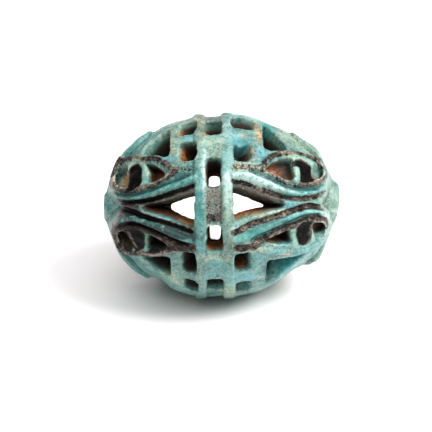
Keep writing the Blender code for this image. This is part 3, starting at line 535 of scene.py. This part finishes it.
def carve(surface):
    """Maps of the carving: openings, their floors, relief and the painted places."""
    maps = {name: surface.empty() for name in (
        "brow", "furrow", "groove", "lid", "tail", "pupil", "leaf", "leaf_line", "notch", "paint",
        "black", "iris", "beam", "edge")}
    maps["opening"] = surface.empty(3.0)
    maps["floor"] = FLOOR_SHARE * surface.radius

    def keep_most(name, values):
        maps[name] = np.maximum(maps[name], values)

    def by_side(left, right):
        """0 to 1 over one stretch of x on the left side and over another on the right."""
        return np.where(surface.x < 0, smooth_step(*left, surface.out), smooth_step(*right, surface.out))

    lid_end = smooth_step(64.0, 88.0, surface.front)
    stroke_end = by_side((16.8, 19.8), (18.4, 22.0))
    leaf_end = 1.0 - by_side((16.4, 18.6), (18.4, 20.4))
    for turn in (0.0, 180.0):

        def gap_to(points, reach, closed=False):
            return surface.distance([(x, angle + turn) for x, angle in points], reach, closed)

        slots, lattice, triangles = (
            (BACK_BAND_OPENINGS, BACK_LATTICE, BACK_TRIANGLES) if turn
            else (BAND_OPENINGS, LATTICE, TRIANGLES))
        outlines = [smooth_corners(rectangle(*item)) for item in slots + lattice]
        outlines += [smooth_corners(item, 0.12) for item in triangles]
        for name, quarter in QUARTERS.items():
            for part, depth in zip(("inner", "outer"), quarter["depths"]):
                outline = smooth_line(quarter[part], True, 3)
                outlines.append(outline)
                gap = gap_to(outline, 1.0, True)
                keep_most("floor", soft_edge(gap - 0.4, 0.2) * (surface.radius - depth))
            outlines.append(smooth_corners(quarter["side"]))

            gaps = {}
            for part in ("brow", "furrow", "groove", "near_lid", "far_lid", "tail"):
                gaps[part] = gap_to(smooth_line(quarter[part]), 1.6)
                gaps[part] += 1.6 * (lid_end if part.endswith("lid") else stroke_end)
            for part, width in STROKE_WIDTHS.items():
                keep_most(part, round_ridge(gaps[part], width))
            keep_most("lid", soft_edge(np.minimum(gaps["near_lid"], gaps["far_lid"]) - LID_WIDTH, 0.2))
            keep_most("tail", soft_edge(gaps["tail"] - TAIL_WIDTH, 0.2))
            pupil_line = smooth_line(quarter["pupil"], True, 3)
            pupil = soft_edge(gap_to(pupil_line, 1.0, True) - 0.1, 0.15)
            socket = gap_to(quarter["near_lid"] + quarter["far_lid"][::-1], 1.0, True)

            # The paint: how strongly each line is painted, how far from it, and how soft its edge
            keep_most("pupil", pupil)
            keep_most("paint", pupil)
            keep_most("paint", quarter["socket"] * soft_edge(socket, 0.3))
            for part, strength, spread, softness in (
                    ("near_lid", quarter["lids"][0], quarter["lid_spread"][0], 0.3),
                    ("far_lid", quarter["lids"][1], quarter["lid_spread"][1], 0.3),
                    ("tail", quarter["tail_paint"], 0.8, 0.35),
                    ("furrow", quarter["furrow_paint"], quarter["furrow_spread"], 0.2),
                    ("groove", quarter["groove_paint"], 0.35, 0.25)):
                keep_most("paint", strength * soft_edge(gaps[part] - spread, softness))
            keep_most("black", pupil)
            if name.endswith("left"):
                keep_most("black", soft_edge(gaps["furrow"] - quarter["furrow_spread"], 0.15))
            if name == "lower_left":
                below = soft_edge(gaps["groove"] - 0.42, 0.25)
                keep_most("black", 0.75 * below * smooth_step(4.0, 5.5, -surface.x))
            # The iris is the ring of glaze round the pupil, inside the lids
            ring = soft_edge(np.abs(gap_to(pupil_line, 1.5, True) - 0.75) - 0.45, 0.2)
            keep_most("iris", ring * soft_edge(socket + 0.5, 0.3))

            # The leaves lie over the top and the bottom, between the two faces
            if turn == 0.0:
                half = 1 if name.startswith("upper") else -1
                gap = gap_to(smooth_line(leaf_points(quarter, half), True, 4), 1.2, True)
                tip = smooth_step(0.0, 1.2, surface.out - quarter["leaf"])
                keep_most("leaf", leaf_end * (0.7 + 0.3 * tip) * soft_edge(gap, 0.18))
                keep_most("leaf_line", leaf_end * tip * round_ridge(gap + 1.3, 0.30))
                keep_most("leaf_line", leaf_end * tip * round_ridge(gap - 0.35, 0.4))
        for points in BEAMS:
            keep_most("beam", soft_edge(gap_to(points, 1.0, True), 0.25))
        for strength, *points in WORN_AND_HIGHLIGHT_EDGES:
            keep_most("edge", strength * soft_edge(gap_to(smooth_line(points), 1.0) - 0.10, 0.16))
        for points in NOTCHES:
            keep_most("notch", soft_edge(gap_to(points, 1.0, True), 0.15))
        for points in outlines:
            maps["opening"] = np.minimum(maps["opening"], gap_to(points, 3.0, True))
    for name in ("paint", "black", "brow", "groove"):
        maps[name] *= 1.0 - maps["notch"]

    # With depth the walls of the front triangles close in on their middle, at -2 degrees, and the
    # outer walls of the lattice openings lean in
    above = surface.angle + 2.0
    side = smooth_step(-1.5, 1.5, above)
    reach = smooth_fall(15.0, 18.0, np.abs(above))
    maps["taper"] = (side * TAPER_UP - (1.0 - side) * TAPER_DOWN) * reach * (surface.out > 2.6)
    lattice = smooth_step(2.2, 3.2, surface.out) * smooth_fall(7.4, 8.2, surface.out)
    maps["wall_lean"] = WALL_LEAN * np.sign(surface.x) * lattice * smooth_step(22.0, 27.0, surface.front)
    return maps


def band_height(surface):
    """Height of the band's rails and pads over the plain barrel."""
    edge = 0.2

    def between(low, high):
        return smooth_step(low - edge, low + edge, surface.x) * smooth_fall(high - edge, high + edge, surface.x)

    base = barrel_radius(surface.x)
    height = sum(between(low, high) * (radius - base) for low, high, radius in RAILS)
    low_pads = (surface.front < 12.0) | (surface.front > 66.0)
    pad = np.where(low_pads, LOW_PAD_RADIUS, PAD_RADIUS)
    return height + between(RAILS[0][1], RAILS[1][0]) * (pad - base)


# ---------------------------------------------------------------- the solid in the (x, r) plane
def profile_outline():
    """Outline of the plain barrel."""
    xs = np.linspace(-LEFT_REACH, RIGHT_REACH, 160)
    return [(-LEFT_REACH, 0.0), *zip(xs.tolist(), barrel_radius(xs).tolist()), (RIGHT_REACH, 0.0)]


def cavity_outline():
    """Outline of the hollow and the string hole."""
    points = [(LEFT_END - 5.0, 0.0), (LEFT_END - 5.0, HOLE_RADIUS)]
    for share in np.linspace(-1.0, 1.0, 60):
        reach = CAVITY_LEFT if share < 0 else CAVITY_RIGHT
        turn = abs(share) * 0.5 * math.pi
        radius = CAVITY_RADIUS * math.cos(turn)
        if radius > HOLE_RADIUS:
            points.append((math.copysign(reach * math.sin(turn) ** (2.0 / CAVITY_FULLNESS), share), radius))
    return points + [(RIGHT_END + 5.0, HOLE_RADIUS), (RIGHT_END + 5.0, 0.0)]


def outline_distance(points, x, radius):
    """Signed distance to an outline and the x of its nearest point; its ends lie on the axis."""
    return nearest_edge(zip(points, points[1:]), x, radius, True)


def soft_greater(first, second, blend):
    """The greater of two fields, with the corner between them rounded off."""
    share = np.maximum(blend - np.abs(first - second), 0.0) / blend
    return np.maximum(first, second) + share * share * blend * 0.25


def bead_field(surface, maps, relief):
    """The field of the bead on a grid (surface x, angle, radius), negative inside."""

    def single(values):
        """Values in single precision, which halves the memory the grid takes."""
        return np.asarray(values, dtype=np.float32)

    radii = np.arange(HOLE_RADIUS - 2.4 * surface.step, BARREL_RADIUS + 0.95, surface.step)
    r2 = radii[None, :] + 0.0 * surface.xs[:, None]
    place = place_x(surface.xs[:, None] + 0.0 * r2, r2)
    barrel, core, cavity = (
        single(outline_distance(outline, place, r2)[0])[:, None, :]
        for outline in (profile_outline(), CORE, cavity_outline()))
    field = barrel - single(relief)[:, :, None]
    core = core - single(KNOB_LIFT * maps["lean"])[:, :, None]
    field = -soft_greater(-field, -core, CORE_ROUNDING)
    field = soft_greater(field, -cavity, CAVITY_ROUNDING)
    outer = np.maximum(barrel_radius(surface.xs), 3.0)[:, None]
    # The same angle spans less the nearer the axis, so distances to an opening's wall shrink too
    narrowing = 0.3 + 0.7 * np.minimum(radii[None, :] / outer, 1.1)
    opening = np.empty(surface.x.shape + radii.shape, dtype=np.float32)
    for index, layer in enumerate(radii):
        depth = np.maximum(outer - layer, 0.0)
        turn = surface.angle + maps["taper"] * depth
        straight = surface.sample(maps["opening"], surface.x, turn)
        leaning = surface.sample(maps["opening"], surface.x + maps["wall_lean"] * depth, turn)
        opening[:, :, index] = np.maximum(straight, leaning) * narrowing[:, index:index + 1]
    floor = single(maps["floor"])[:, :, None] - single(radii)
    opening = soft_greater(opening, floor, FLOOR_ROUNDING)
    return radii, soft_greater(field, -opening, EDGE_ROUNDING)


def mesh_field(surface, radii, field):
    """Vertices (surface x, angle, radius) and quads where the field crosses zero.

    Each edge of the grid that crosses the surface makes a quad between the four cells round it,
    and each cell's vertex lies in the middle of its edges' crossings.  The field is positive all
    round the grid, so that only the angle runs on from the last row to the first.
    """
    quads, cells, spots = [], [], []
    for axis in range(3):
        beyond = np.roll(field, -1, axis)
        edges = np.array(np.nonzero((field < 0) != (beyond < 0)))
        near, far = field[tuple(edges)], beyond[tuple(edges)]
        spot = edges.astype(float)
        spot[axis] += near / (near - far)
        first, second = [index for index in range(3) if index != axis]
        loop = []
        for shift_first, shift_second in ((-1, -1), (0, -1), (0, 0), (-1, 0)):
            cell = edges.copy()
            cell[first] += shift_first
            cell[second] += shift_second
            spots.append(spot - cell)
            cell[1] %= field.shape[1]
            loop.append(np.ravel_multi_index(tuple(cell), field.shape))
        cells += loop
        faces = np.stack(loop, axis=1)
        flip = (near < 0) == (axis == 1)
        faces[flip] = faces[flip][:, ::-1]
        quads.append(faces)
    cells, owners = np.unique(np.concatenate(cells), return_inverse=True)
    spots = np.concatenate(spots, axis=1)
    middles = np.array([np.bincount(owners, row) for row in spots]) / np.bincount(owners)
    places = (np.array(np.unravel_index(cells, field.shape)) + middles).T
    start = np.array((surface.xs[0], surface.angles[0], radii[0]))
    vertices = start + places * (surface.step, 360.0 / field.shape[1], surface.step)
    return vertices, np.searchsorted(cells, np.concatenate(quads))


def largest_part(vertices, quads):
    """Only the faces that join the largest connected part, with their vertices."""
    label = np.arange(len(vertices))
    while True:
        least = label[quads].min(axis=1)
        update = label.copy()
        for corner in range(4):
            np.minimum.at(update, quads[:, corner], least)
        update = update[update]
        if np.array_equal(update, label):
            break
        label = update
    names, counts = np.unique(label, return_counts=True)
    keep = label == names[np.argmax(counts)]
    return vertices[keep], (np.cumsum(keep) - 1)[quads[keep[quads[:, 0]]]]


def to_world(x, angle, radius):
    """World coordinates in metres of places on the bead."""
    turn = np.radians(angle + FRONT_TILT)
    return np.stack([BAND_X + x, -radius * np.cos(turn), AXIS_HEIGHT + radius * np.sin(turn)], axis=1) * MM


def from_world(points):
    """x, angle and radius of points in world coordinates."""
    across, up = -points[:, 1] / MM, points[:, 2] / MM - AXIS_HEIGHT
    angle = turned(np.degrees(np.arctan2(up, across)) - FRONT_TILT)
    return points[:, 0] / MM - BAND_X, angle, np.hypot(across, up)


# ---------------------------------------------------------------- building the mesh
surface = Surface(STEP)
maps = carve(surface)
steep = steepness(surface.x)
drift_x = WARP * surface.noise(2.6, 1) / slope_length(surface.x) ** 2
drift_angle = np.degrees(WARP * surface.noise(2.6, 2) / np.maximum(surface.radius, 11.0))
for name in maps:
    maps[name] = surface.sample(maps[name], surface.x + drift_x, surface.angle + drift_angle)
    if name not in ("opening", "floor"):
        # The grid is coarse along the steep ends, so edges are softened there
        softer = 0.5 * maps[name] + 0.25 * (np.roll(maps[name], 1, 0) + np.roll(maps[name], -1, 0))
        maps[name] += steep * (softer - maps[name])
maps["opening"] += RAGGEDNESS * surface.noise(0.9, 3)
# 1 over the top of the right end, -1 below it
maps["lean"] = np.sin(np.radians(surface.angle)) * smooth_step(15.0, 20.0, surface.x)

relief = band_height(surface) + sum(height * maps[name] for name, height in RELIEF.items())
relief += surface.patches(SWELLINGS, (0.0,)) + SKIN_LIFT * np.maximum(maps["lean"], -0.2)
# The beams' lower faces slope in towards their openings
relief -= BEAM_SLOPE * maps["beam"] * smooth_fall(0.0, 1.3, maps["opening"])
ripple = surface.noise(1.2, 4) + 0.5 * surface.noise(0.45, 5)
relief += SURFACE_RIPPLE * ripple * smooth_step(3.0, 12.0, surface.radius)

vertices, quads = largest_part(*mesh_field(surface, *bead_field(surface, maps, relief)))
surface_x, angle, radius = vertices.T
hair = 0.02 * MM
low = np.array(cad_bounds[0]) + np.array((hair, hair, 0.0))
high = np.array(cad_bounds[1]) - hair
points = np.clip(to_world(place_x(surface_x, radius), angle, radius), low, high)

scene = bpy.context.scene


def add_object(name, data):
    thing = bpy.data.objects.new(name, data)
    scene.collection.objects.link(thing)
    return thing


mesh = bpy.data.meshes.new("bead_body")
mesh.from_pydata(points.tolist(), [], quads.tolist())
mesh.update()
bead = add_object("bead_body", mesh)
triangles = 2 * len(quads)
if triangles > MOST_FACES:
    thin = bead.modifiers.new("thin", "DECIMATE")
    thin.ratio = MOST_FACES / triangles
    bpy.context.view_layer.update()
    thinned = bead.evaluated_get(bpy.context.evaluated_depsgraph_get())
    finished = bpy.data.meshes.new_from_object(thinned)
    bead.modifiers.clear()
    bead.data = finished
    finished.name = "bead_body"
mesh = bead.data
mesh.shade_smooth()


def read(elements, name, width, kind=float):
    """A property of a mesh's elements, one row for each."""
    values = np.empty(len(elements) * width, dtype=kind)
    elements.foreach_get(name, values)
    return values.reshape(-1, width)


# Thinning can move a vertex a hair out of the box, so they are clipped once more
places = np.clip(read(mesh.vertices, "co", 3), low, high)
mesh.vertices.foreach_set("co", places.ravel())
mesh.update()

# ---------------------------------------------------------------- what each place is coated with, and its painted shade and highlights
x, angle, radius = from_world(places)
surface_x = surface_x_of(x, radius)
# At the steep ends a place takes its coat from the nearest point of the plain barrel
to_barrel, nearest_x = outline_distance(profile_outline(), x, radius)
surface_x += steepness(surface_x) * (nearest_x - surface_x)


def on_mesh(field):
    """A map's values at the mesh's vertices."""
    return surface.sample(field, surface_x, angle)


def bend_of_mesh():
    """How sharply the surface bends at each vertex, in 1/mm: positive on a crest, negative in a dip."""
    normals = read(mesh.vertices, "normal", 3)
    edges = read(mesh.edges, "vertices", 2, np.int32)
    start, end = np.concatenate([edges, edges[:, ::-1]]).T
    run = (places[end] - places[start]) / MM
    bends = -(normals[start] * run).sum(axis=1) / np.maximum((run * run).sum(axis=1), 1e-4)
    shares = np.bincount(start)
    bend = np.bincount(start, bends) / shares
    for _ in range(2):
        bend = 0.5 * bend + 0.5 * np.bincount(start, bend[end]) / shares
    return bend


# How deep each vertex lies under the carved skin, and where the skin itself is
to_core = outline_distance(CORE, x, radius)[0]
sunk = np.maximum(on_mesh(relief) - to_barrel, KNOB_LIFT * on_mesh(maps["lean"]) - to_core)
skin = smooth_fall(0.45, 1.0, sunk)
out = np.abs(surface_x)
bend = bend_of_mesh()
rim = np.exp(-(on_mesh(maps["opening"]) / 0.45) ** 2)
beam = on_mesh(maps["beam"])
# Next to the side openings places take less painted shade of depth and fewer pale crests
beside = smooth_step(7.2, 8.6, out) * smooth_step(34.0, 40.0, on_mesh(surface.front))
beside *= smooth_fall(14.5, 15.5, out)
below = np.minimum(on_mesh(surface.patches(BELOW_BEAMS)), 1.0)
# Less earth and less painted shade where the table says so, and on the beams
less_soil_and_shade = on_mesh(surface.patches(LESS_SOIL_AND_SHADE) + 2.2 * maps["beam"])
# Crests by the openings' rims are painted pale, partly as wear and partly as a painted highlight of the light
# from above
crest = smooth_step(0.30, 0.80, bend) * smooth_fall(0.3, 0.6, sunk) * (0.2 + 0.8 * rim)
crest *= (1.0 - 0.9 * beam) * (1.0 - 0.9 * beside) * (1.0 - 0.7 * below)

stain = smooth_step(RAILS[0][1] - 0.1, RAILS[0][1] + 0.15, surface.x)
stain *= smooth_fall(RAILS[1][0] - 0.15, RAILS[1][0] + 0.1, surface.x) * soft_edge(surface.front - 11.0, 1.0)
bare = 1.0 - 0.8 * maps["brow"]
paint = np.maximum(maps["paint"], stain * (0.48 + 0.2 * smooth_fall(-7.0, 3.0, surface.angle)))
for place in PAINTED:
    paint = np.maximum(paint, surface.patches((place,)) * bare)
paint *= (1.0 - 0.9 * maps["iris"]) * (1.0 - maps["notch"])

coats = {
    "crest": crest,
    "edge": on_mesh(maps["edge"]) * smooth_fall(0.8, 1.4, sunk),
    # Painted shade in the dips and creases of the surface
    "dip": smooth_step(0.10, 0.60, -bend),
    # depth and sunk: how deep a place lies in the openings; the material browns it as earth and darkens it as
    # painted shade, darker the deeper
    "depth": (sunk * (1.0 - 0.55 * below) - 0.5 * beside - less_soil_and_shade) / DEEPEST,
    "sunk": (sunk - 0.9 * less_soil_and_shade) / DEEPEST,
    "stain": on_mesh(stain) * skin,
    "paint": on_mesh(paint * (1.0 + 0.35 * steep)) * skin,
    "black": on_mesh(np.maximum(maps["black"], surface.patches(BLACKENED) * bare)) * skin,
    "ridge": on_mesh(maps["brow"]) * skin,
    "groove": on_mesh(maps["groove"]) * skin,
    "iris": on_mesh(maps["iris"]) * skin,
    "beam": beam,
    **{kind: on_mesh(surface.patches(table)) for kind, table in COATS.items()},
}
for name, values in coats.items():
    attribute = mesh.attributes.new(name, "FLOAT", "POINT")
    attribute.data.foreach_set("value", np.clip(values, 0.0, 1.0).astype(np.float32))


# ---------------------------------------------------------------- the faience material
def linear(colour):
    """A display colour, 0 to 255 a channel, as a linear one."""
    shares = [value / 255.0 for value in colour]
    return (*(share / 12.92 if share <= 0.04045 else ((share + 0.055) / 1.055) ** 2.4 for share in shares), 1.0)


def fill_ramp(node, stops):
    """Give a colour ramp its stops: (position, linear colour)."""
    elements = node.color_ramp.elements
    while len(elements) < len(stops):
        elements.new(0.5)
    for element, (position, colour) in zip(elements, stops):
        element.position = position
        element.color = colour


class Nodes:
    """Short ways to add shader nodes to one material; its colours are display colours."""

    def __init__(self, material):
        self.tree = material.node_tree
        self.tree.nodes.clear()
        self.place = self.add("ShaderNodeVectorMath", operation="SCALE")
        self.put(self.add("ShaderNodeTexCoord").outputs["Object"], self.place.inputs[0])
        self.place.inputs["Scale"].default_value = 1.0 / MM

    def add(self, kind, **settings):
        node = self.tree.nodes.new(kind)
        for name, value in settings.items():
            setattr(node, name, value)
        return node

    def put(self, source, target):
        """Link a socket to another, or set it to a number or a colour."""
        if isinstance(source, bpy.types.NodeSocket):
            self.tree.links.new(source, target)
        else:
            target.default_value = linear(source) if isinstance(source, tuple) else source

    def attribute(self, name):
        return self.add("ShaderNodeAttribute", attribute_name=name).outputs["Fac"]

    def noise(self, scale, detail, roughness, distortion, offset):
        """Noise of the place on the bead; scale is lumps in a millimetre."""
        where = self.add("ShaderNodeVectorMath", operation="ADD")
        self.put(self.place.outputs[0], where.inputs[0])
        where.inputs[1].default_value = (offset, offset * 0.7, -offset)
        node = self.add("ShaderNodeTexNoise")
        self.put(where.outputs[0], node.inputs["Vector"])
        settings = {"Scale": scale, "Detail": detail, "Roughness": roughness, "Distortion": distortion}
        for name, value in settings.items():
            node.inputs[name].default_value = value
        return node.outputs["Fac"]

    def strong_noise(self, *settings):
        """The same noise with twice the contrast."""
        return self.math("MULTIPLY_ADD", self.noise(*settings), 2.0, -0.5)

    def math(self, operation, *values):
        node = self.add("ShaderNodeMath", operation=operation)
        for socket, value in zip(node.inputs, values):
            self.put(value, socket)
        return node.outputs[0]

    def times(self, first, second):
        return self.math("MULTIPLY", first, second)

    def weighted(self, *terms, start=0.0):
        """Sum of fields, each times its weight."""
        for field, weight in terms:
            start = self.math("MULTIPLY_ADD", field, weight, start)
        return start

    def steps(self, value, low, high):
        """0 to 1 as value goes from low to high, smooth."""
        node = self.add("ShaderNodeMapRange", interpolation_type="SMOOTHSTEP")
        for name, source in (("Value", value), ("From Min", low), ("From Max", high)):
            self.put(source, node.inputs[name])
        return node.outputs["Result"]

    def mix(self, factor, first, second):
        node = self.add("ShaderNodeMix", data_type="RGBA")
        for name, source in (("Factor", factor), (6, first), (7, second)):
            self.put(source, node.inputs[name])
        return node.outputs[2]

    def cover(self, below, share, strength, colour):
        """One coat over another, by a share times a strength."""
        return self.mix(self.times(share, strength), below, colour)

    def ramp(self, value, *stops):
        node = self.add("ShaderNodeValToRGB")
        self.put(value, node.inputs["Fac"])
        fill_ramp(node, [(position, linear(colour)) for position, colour in stops])
        return node.outputs["Color"]


def faience_material(name, shine):
    """Worn turquoise glaze with black paint, cream weathering and brown earth in the holes, with painted shade
    in the holes and creases and painted highlights on the edges.
    """
    material = bpy.data.materials.new(name)
    material.use_nodes = True
    nodes = Nodes(material)
    attribute, steps, times, cover = nodes.attribute, nodes.steps, nodes.times, nodes.cover

    broad = nodes.strong_noise(0.16, 3.0, 0.55, 0.0, 0.0)
    patches = nodes.strong_noise(0.45, 5.0, 0.65, 0.4, 11.0)
    mottle = nodes.strong_noise(1.1, 5.0, 0.7, 0.3, 23.0)
    grain = nodes.strong_noise(3.2, 3.0, 0.65, 0.0, 37.0)
    weather = nodes.strong_noise(0.8, 6.0, 0.72, 0.6, 67.0)
    pits = steps(nodes.noise(2.2, 2.0, 0.55, 0.0, 51.0), 0.36, 0.27)
    flecks = nodes.noise(1.7, 3.0, 0.6, 0.0, 83.0)

    # The glaze, and over it its coats from the first to the last
    tone = nodes.weighted((broad, 0.20), (patches, 0.32), (mottle, 0.28), (grain, 0.20))
    glaze = nodes.ramp(
        tone, (0.22, (24, 60, 60)), (0.38, (50, 96, 93)), (0.50, (84, 128, 121)), (0.62, (116, 152, 141)),
        (0.80, (158, 180, 160)))
    glaze = cover(glaze, steps(patches, 0.62, 0.92), 0.5, (46, 132, 130))
    glaze = cover(glaze, steps(weather, 0.58, 0.86), 0.6, (158, 170, 146))
    speckled = nodes.weighted((weather, 0.5), (grain, 0.5))
    stained = nodes.mix(steps(grain, 0.3, 0.7), (78, 76, 70), (116, 117, 105))
    clay = nodes.mix(steps(mottle, 0.3, 0.7), (150, 102, 58), (206, 168, 118))
    for kind, field, none, full, strength, colour in (
            ("cream", speckled, 0.30, 0.62, 0.95, (176, 180, 148)),
            ("ridge", mottle, 0.20, 0.75, 0.7, (92, 178, 170)),
            ("pale", mottle, 0.10, 0.60, 0.85, (196, 224, 217)),
            ("blue", mottle, 0.15, 0.65, 0.9, (88, 158, 168)),
            ("groove", mottle, 0.95, 0.35, 1.0, (22, 100, 102)),
            ("teal", mottle, 1.00, 0.20, 1.0, (30, 128, 126)),
            ("dark", mottle, 1.10, 0.42, 1.15, (8, 50, 48)),
            ("iris", mottle, 0.05, 0.45, 0.7, (136, 180, 162)),
            ("stain", patches, 1.20, 0.40, 1.0, stained),
            # beam: grey-brown, partly weathered glaze and partly painted shade of the down-facing faces
            ("beam", mottle, 1.2, 0.20, 1.25, (82, 73, 65)),
            ("tan", grain, 0.20, 0.50, 1.0, clay)):
        glaze = cover(glaze, times(attribute(kind), steps(field, none, full)), strength, colour)
    glaze = cover(glaze, pits, 0.8, (58, 52, 40))
    glaze = cover(glaze, steps(flecks, 0.66, 0.74), 0.7, (196, 190, 160))
    # Painted shade: the glaze darkens in dips and creases
    glaze = cover(glaze, times(attribute("dip"), steps(grain, 0.9, 0.3)), 0.75, (26, 52, 50))
    # Painted shade: the glaze darkens the deeper it lies in the openings
    glaze = cover(glaze, steps(attribute("sunk"), 0.05, 0.34), 0.85, (20, 42, 40))

    # The black paint and where it holds
    flecked = nodes.weighted((patches, 0.30), (mottle, 0.40), (grain, 0.30))
    black = nodes.ramp(
        flecked, (0.34, (12, 11, 11)), (0.45, (34, 30, 28)), (0.54, (66, 58, 54)), (0.63, (104, 93, 86)),
        (0.74, (172, 162, 140)))
    solid = attribute("black")
    worn = nodes.weighted(
        (attribute("paint"), 1.0), (solid, 0.5), (grain, -0.30), (mottle, -0.36), start=-0.08)
    covered = nodes.math("MAXIMUM", steps(worn, 0.08, 0.26), steps(solid, 0.35, 0.65))
    black = cover(black, attribute("dark"), 0.8, (42, 37, 34))
    black = cover(black, times(attribute("cream"), steps(mottle, 0.25, 0.65)), 0.8, (146, 138, 116))
    black = cover(black, steps(solid, 0.3, 0.8), 0.96, (2, 2, 2))
    coat = nodes.mix(covered, glaze, black)

    # Worn crests and edges, pale partly from wear and partly as painted highlights on the rounded edges
    crest = times(attribute("crest"), steps(mottle, 0.25, 0.7))
    crest = times(crest, nodes.weighted((attribute("dark"), -0.85), start=1.0))
    coat = cover(coat, crest, 0.8, (204, 202, 190))
    # Pale lines along the listed edges: wear and painted highlight
    coat = cover(coat, times(attribute("edge"), steps(grain, 0.15, 0.55)), 0.9, (206, 196, 184))

    # Soil in the openings, brown earth with painted shade: the deeper a place lies the darker it is painted,
    # down to near black
    depth, warm = attribute("depth"), attribute("warm")
    ragged = nodes.weighted(
        (depth, 1.0), (mottle, 0.09), (times(steps(depth, 0.03, 0.10), warm), 0.07), start=-0.045)
    soil_and_shade = nodes.ramp(
        ragged, (0.13, (52, 66, 58)), (0.20, (50, 44, 34)), (0.30, (34, 25, 19)), (0.44, (17, 13, 10)))
    earth = nodes.mix(steps(ragged, 0.14, 0.34), (200, 144, 90), (176, 98, 48))
    earth = cover(earth, steps(weather, 0.50, 0.72), 0.75, (62, 30, 16))
    earth = cover(earth, steps(flecks, 0.56, 0.66), 0.6, (206, 176, 128))
    warm = times(times(warm, steps(ragged, 0.85, 0.40)), steps(mottle, 0.1, 0.75))
    soil_and_shade = cover(soil_and_shade, warm, 0.85, earth)
    coat = nodes.mix(steps(ragged, 0.10, 0.20), coat, soil_and_shade)

    shader = nodes.add("ShaderNodeBsdfPrincipled")
    nodes.put(coat, shader.inputs["Base Color"])
    rough = nodes.weighted((grain, 0.25), (steps(ragged, 0.1, 0.3), 0.35), start=0.20)
    nodes.put(rough, shader.inputs["Roughness"])
    shader.inputs["Specular IOR Level"].default_value = shine
    bump = nodes.add("ShaderNodeBump")
    bump.inputs["Strength"].default_value = 0.8
    bump.inputs["Distance"].default_value = 0.22 * MM
    height = nodes.weighted((mottle, 0.3), (grain, 0.2), (pits, -0.5), (times(covered, grain), -0.25))
    nodes.put(height, bump.inputs["Height"])
    nodes.put(bump.outputs["Normal"], shader.inputs["Normal"])
    nodes.put(shader.outputs["BSDF"], nodes.add("ShaderNodeOutputMaterial").inputs["Surface"])
    return material


# Glossy glaze, and matt paint on the faces that lie mostly under it
mesh.materials.append(faience_material("worn_faience", 0.42))
mesh.materials.append(faience_material("painted_faience", 0.05))
corners = read(mesh.loops, "vertex_index", 1, np.int32).ravel()
starts = read(mesh.polygons, "loop_start", 1, np.int32).ravel()
matt = (on_mesh(np.maximum(maps["black"], maps["paint"])) * skin)[corners[starts]] > 0.5
mesh.polygons.foreach_set("material_index", matt.astype(np.int32))
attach(bead, "root")
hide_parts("bead")

# ---------------------------------------------------------------- studio: floor, light, camera
FLOOR_REACH = 3.0
floor_mesh = bpy.data.meshes.new("floor")
floor_corners = [(FLOOR_REACH * x, FLOOR_REACH * y, 0.0) for x, y in ((-1, -1), (1, -1), (1, 1), (-1, 1))]
floor_mesh.from_pydata(floor_corners, [], [(0, 1, 2, 3)])
floor = add_object("floor", floor_mesh)
white = bpy.data.materials.new("white_floor")
white.use_nodes = True
white_shader = white.node_tree.nodes["Principled BSDF"]
white_shader.inputs["Base Color"].default_value = (0.95, 0.927, 0.927, 1.0)
white_shader.inputs["Roughness"].default_value = 1.0
white_shader.inputs["Specular IOR Level"].default_value = 0.0
floor_mesh.materials.append(white)

# Brightness of the sky against the sine of its height: a pale rim, a dark ring, a bright top
SKY = ((0.10, 0.50), (0.15, 0.02), (0.60, 0.02), (0.70, 1.0))
SKY_STRENGTH = 1.86
world = bpy.data.worlds.new("studio")
scene.world = world
world.use_nodes = True
sky = world.node_tree
background = sky.nodes["Background"]
direction = sky.nodes.new("ShaderNodeTexCoord")
height = sky.nodes.new("ShaderNodeSeparateXYZ")
shade = sky.nodes.new("ShaderNodeValToRGB")
fill_ramp(shade, [(position, (value, value, value, 1.0)) for position, value in SKY])
sky.links.new(direction.outputs["Generated"], height.inputs[0])
sky.links.new(height.outputs["Z"], shade.inputs["Fac"])
sky.links.new(shade.outputs["Color"], background.inputs["Color"])
background.inputs["Strength"].default_value = SKY_STRENGTH
scene.view_settings.view_transform = "Standard"

# One square soft light, from the upper right
light_data = bpy.data.lights.new("soft_right", "AREA")
light_data.size = 0.30
light_data.energy = 4.2
light = add_object("soft_right", light_data)
light.location = (0.37, -0.10, 0.43)
light.rotation_mode = "QUATERNION"
middle = Vector((0.0, 0.0, AXIS_HEIGHT * MM))
light.rotation_quaternion = (middle - light.location).to_track_quat("-Z", "Y")

VIEW_ELEVATION = 30.0
VIEW_DISTANCE = 0.45
VIEW_ROLL = 0.7
WIDTH_SEEN = 77.0 * MM
# Where the camera aims, from the middle of the band
AIM_RIGHT, AIM_DOWN = 0.285185 * MM, 1.818056 * MM
camera_data = bpy.data.cameras.new("camera")
camera_data.lens = camera_data.sensor_width * VIEW_DISTANCE / WIDTH_SEEN
camera_data.clip_start = 0.01
camera_data.clip_end = 20.0
camera = add_object("camera", camera_data)
lift = math.radians(VIEW_ELEVATION)
back = Vector((0.0, -math.cos(lift), math.sin(lift)))
up = Vector((0.0, math.sin(lift), math.cos(lift)))
band_middle = Vector(to_world(np.zeros(1), np.zeros(1), np.zeros(1))[0])
aim = band_middle + Vector((AIM_RIGHT, 0.0, 0.0)) - up * AIM_DOWN
camera.location = aim + back * VIEW_DISTANCE
camera.rotation_mode = "XYZ"
camera.rotation_euler = (math.radians(90.0 - VIEW_ELEVATION), 0.0, 0.0)
camera.rotation_euler.rotate_axis("Z", math.radians(-VIEW_ROLL))
scene.camera = camera
